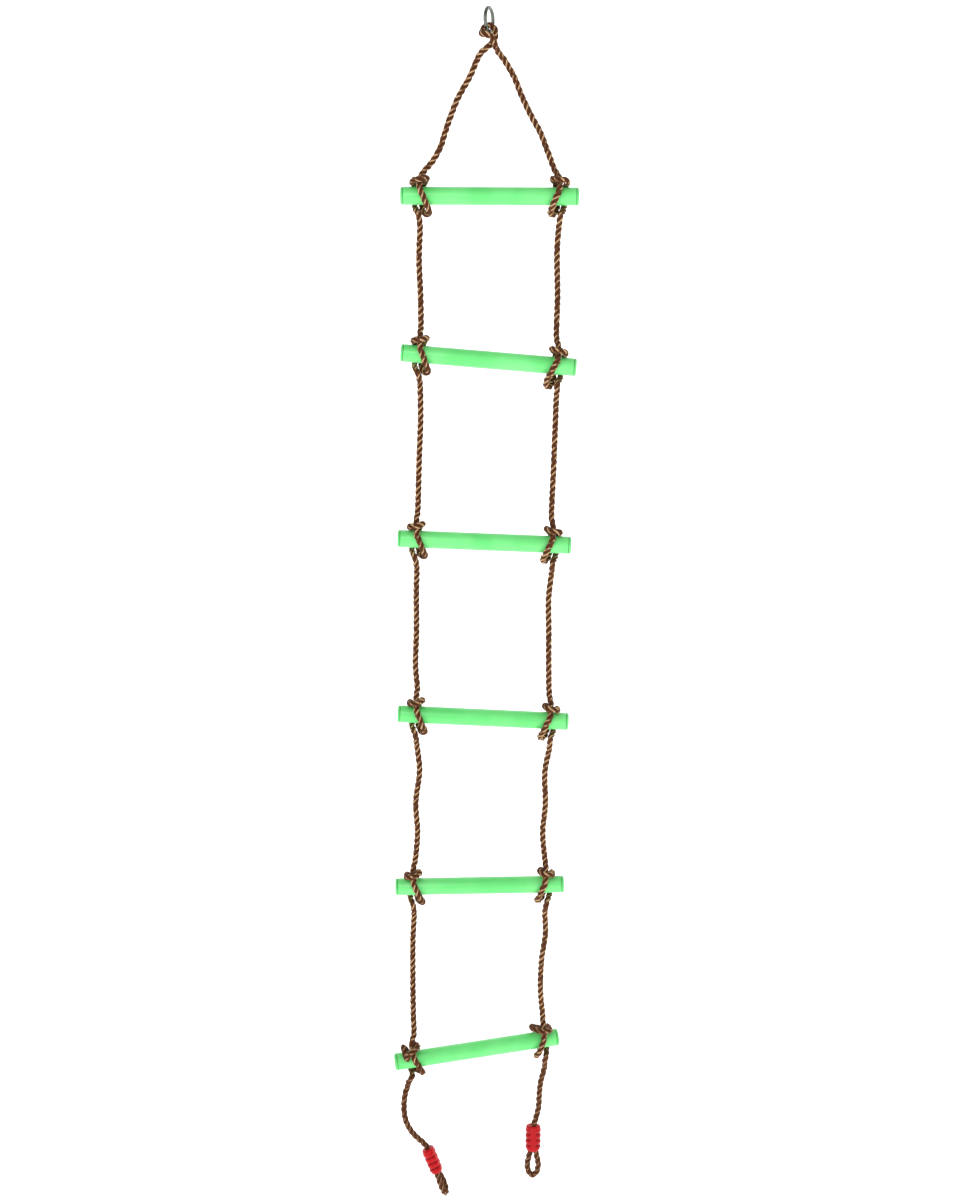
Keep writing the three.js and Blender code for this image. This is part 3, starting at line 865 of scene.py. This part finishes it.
def rounded_channel(name, half_width, half_depth, low, high):
    """A stadium-shaped bore along Z."""
    steps = 16
    outline = []
    for sign in (1, -1):
        for i in range(steps + 1):
            a = math.radians(-90 + 180 * i / steps) + (0 if sign > 0 else math.pi)
            x = sign * (half_width - half_depth) + half_depth * math.cos(a)
            outline.append((x, half_depth * math.sin(a)))
    n = len(outline)
    vertices = [(x * MM, y * MM, z * MM) for z in (low, high) for x, y in outline]
    faces = [(i, (i + 1) % n, n + (i + 1) % n, n + i) for i in range(n)]
    faces += [tuple(range(n - 1, -1, -1)), tuple(range(n, 2 * n))]
    return new_object(name, vertices, faces, smooth=False)


def carve(obj, tool, operation="DIFFERENCE"):
    """Applies a boolean and removes the tool."""
    modifier = obj.modifiers.new("carve", "BOOLEAN")
    modifier.operation = operation
    modifier.object = tool
    modifier.solver = "EXACT"
    graph = bpy.context.evaluated_depsgraph_get()
    carved = bpy.data.meshes.new_from_object(obj.evaluated_get(graph))
    obj.modifiers.clear()
    obj.data = carved
    bpy.data.objects.remove(tool, do_unlink=True)


def clamp_groove_painted_shade(place):
    """How far a point of the clamp's outside is down in a groove, as the weight of the painted shade there.
    """
    return groove_share(place.z, math.atan2(place.y * CLAMP["width"] / CLAMP["depth"], place.x))


def make_clamps():
    """Each clamp is two shells that meet along a parting line down its sides."""
    # the third colour is the painted shade in the grooves
    plastic = plastic_material("clamp_plastic", srgb(206, 8, 20), srgb(184, 3, 14), srgb(132, 0, 10),
                               roughness=0.38, soft=0.0, shine=0.22)
    half_parting = 0.12
    for side in HANDS:
        for half, hand in (("front", -1), ("back", 1)):
            obj = barrel_object(f"clamp_{side}_{half}_shell")
            wide = 2 * CLAMP["width"]
            near, far = sorted((hand * half_parting, hand * wide))
            carve(obj, tool_box("keep", (-wide, near, -10), (wide, far, 2 * CLAMP["length"])), "INTERSECT")
            bore_top = CLAMP["length"] - CLAMP["mouth"]
            carve(obj, rounded_channel("bore", ROPE_D + ROPE_ROOM, ROPE_R + 0.8, -5, bore_top))
            low, high = CLAMP["length"] / 2, 2 * CLAMP["length"]
            mouth = rounded_channel("mouth", ROPE_R + ROPE_ROOM, ROPE_R + 1.0, low, high)
            mouth.data.transform(Matrix.Translation((1 * MM, 0, 0)))
            carve(obj, mouth)
            obj.data.shade_smooth()
            obj.data.set_sharp_from_angle(angle=math.radians(38))
            # weights the painted shade in the grooves
            mark_painted_shade(obj.data, clamp_groove_painted_shade)
            frame_of = clamp_frame(side)
            frame_of.translation = frame_of.translation * MM
            obj.data.transform(frame_of)
            obj.data.materials.clear()
            obj.data.materials.append(plastic)
            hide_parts(f"clamp_{side}_{half}")
            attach(obj, f"tail_{side}")


make_clamps()
lay_rope()
make_rungs()
make_ring()
